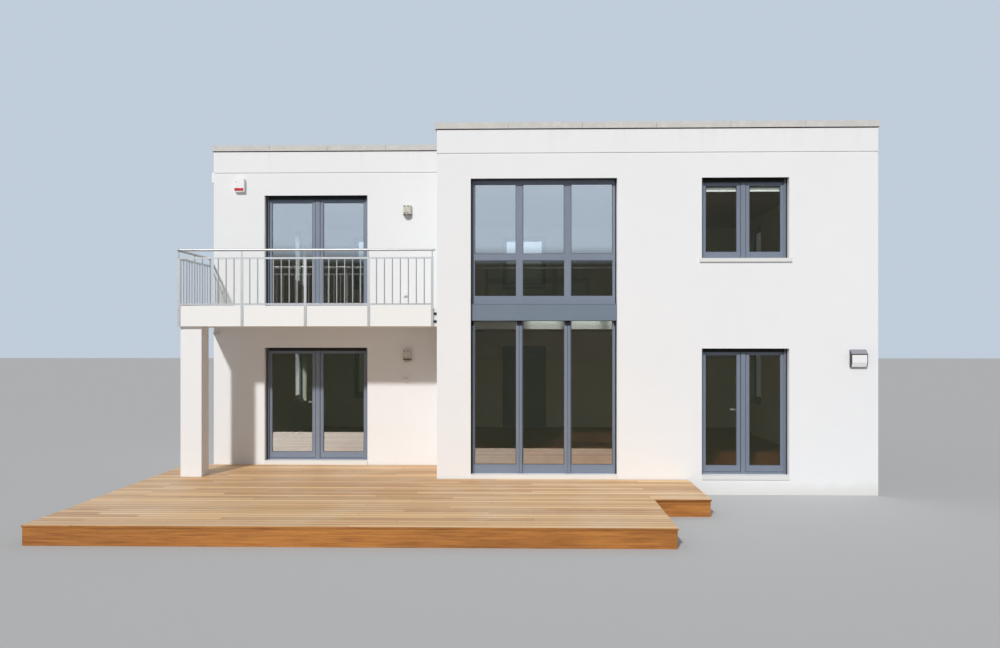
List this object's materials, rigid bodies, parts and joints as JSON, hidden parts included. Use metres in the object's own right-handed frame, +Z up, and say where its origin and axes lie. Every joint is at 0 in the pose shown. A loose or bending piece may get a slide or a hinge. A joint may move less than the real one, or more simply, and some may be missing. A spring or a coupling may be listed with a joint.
{
  "type": "detached house",
  "caption": "Two-storey flat-roofed detached house with white render, grey window frames, a railed balcony on a pillar and a timber deck.",
  "frame": {"origin": "on level ground under the middle of the house, without its deck", "axes": "+Z up, -Y towards the garden front with the large window, +X to its right"},
  "size_m": [12.616, 13.104, 6.425],
  "materials": {
    "white_render": "fine trowelled render, matt white",
    "concrete": "plain concrete and screed",
    "roof_gravel": "gravel on a flat roof",
    "coping_stone": "smooth light grey coping",
    "frame_grey": "satin blue-grey coating",
    "panel_grey": "satin grey coating",
    "shutter_dark": "dark grey satin",
    "inlet_black": "black plastic",
    "clear_glass": "clear double glazing",
    "sill_metal": "light anodised metal",
    "handle_metal": "light satin metal",
    "railing_metal": "silver satin coating",
    "fascia_white": "off-white satin sheet",
    "lamp_metal": "bronze satin with a pale glass",
    "alarm_white": "white plastic with a red lens",
    "number_dark": "dark casing with a white face",
    "fitting_white": "white plastic",
    "deck_timber": "oiled brown hardwood boards",
    "joist_timber": "sawn timber"
  },
  "bodies": {
    "house": {"front_wall_piers": "white_render", "front_wall_panels": "white_render", "recess_wall": "white_render", "wing_wall_piers": "white_render", "wing_wall_panels": "white_render", "right_wall_piers": "white_render", "right_wall_panels": "white_render", "left_wall_piers": "white_render", "left_wall_panels": "white_render", "back_wall_piers": "white_render", "back_wall_panels": "white_render", "ground_floor": "concrete", "upper_floor": "concrete", "roof_slab": "concrete", "roof_covering": "roof_gravel", "parapet_coping": "coping_stone", "big_window_frame": "frame_grey", "big_window_panel": "panel_grey", "upper_window_frame": "frame_grey", "balcony_door_frame": "frame_grey", "front_glass": "clear_glass", "garden_door_frame": "frame_grey", "terrace_door_frame": "frame_grey", "rear_window_frames": "frame_grey", "rear_window_glass": "clear_glass", "entrance_door": "frame_grey", "shutter_guides": "frame_grey", "shutter_inlets": "inlet_black", "shutter_end_bars": "shutter_dark", "window_sills": "sill_metal", "door_thresholds": "sill_metal", "balcony_slab": "white_render", "balcony_pillar": "white_render", "balcony_fascia": "fascia_white", "balcony_front_railing": "railing_metal", "balcony_side_railing": "railing_metal", "gallery_glass": "clear_glass", "gallery_fittings": "handle_metal", "wall_lamps": "lamp_metal", "alarm_box": "alarm_white", "house_number_lamp": "number_dark", "small_fittings": "fitting_white", "deck_boards": "deck_timber", "deck_skirt": "deck_timber", "deck_joists": "joist_timber"},
    "garden_door_left": {"garden_door_left_leaf": "frame_grey", "garden_door_left_glass": "clear_glass", "garden_door_handles": "handle_metal"},
    "garden_door_right": {"garden_door_right_leaf": "frame_grey", "garden_door_right_glass": "clear_glass"},
    "terrace_door_left": {"terrace_door_left_leaf": "frame_grey", "terrace_door_left_glass": "clear_glass", "terrace_door_handles": "handle_metal"},
    "terrace_door_right": {"terrace_door_right_leaf": "frame_grey", "terrace_door_right_glass": "clear_glass"}
  },
  "joints": [
    {"name": "garden_door_left_hinge", "type": "hinge", "parent": "house", "child": "garden_door_left", "pos_m": [3.063, -4.262, 1.43], "axis": [0, 0, 1], "range_deg": [0, 90]},
    {"name": "garden_door_right_hinge", "type": "hinge", "parent": "house", "child": "garden_door_right", "pos_m": [4.481, -4.262, 1.43], "axis": [0, 0, -1], "range_deg": [0, 90]},
    {"name": "terrace_door_left_hinge", "type": "hinge", "parent": "house", "child": "terrace_door_left", "pos_m": [-5.004, -2.532, 1.43], "axis": [0, 0, 1], "range_deg": [0, 90]},
    {"name": "terrace_door_right_hinge", "type": "hinge", "parent": "house", "child": "terrace_door_right", "pos_m": [-3.082, -2.532, 1.43], "axis": [0, 0, -1], "range_deg": [0, 90]}
  ]
}
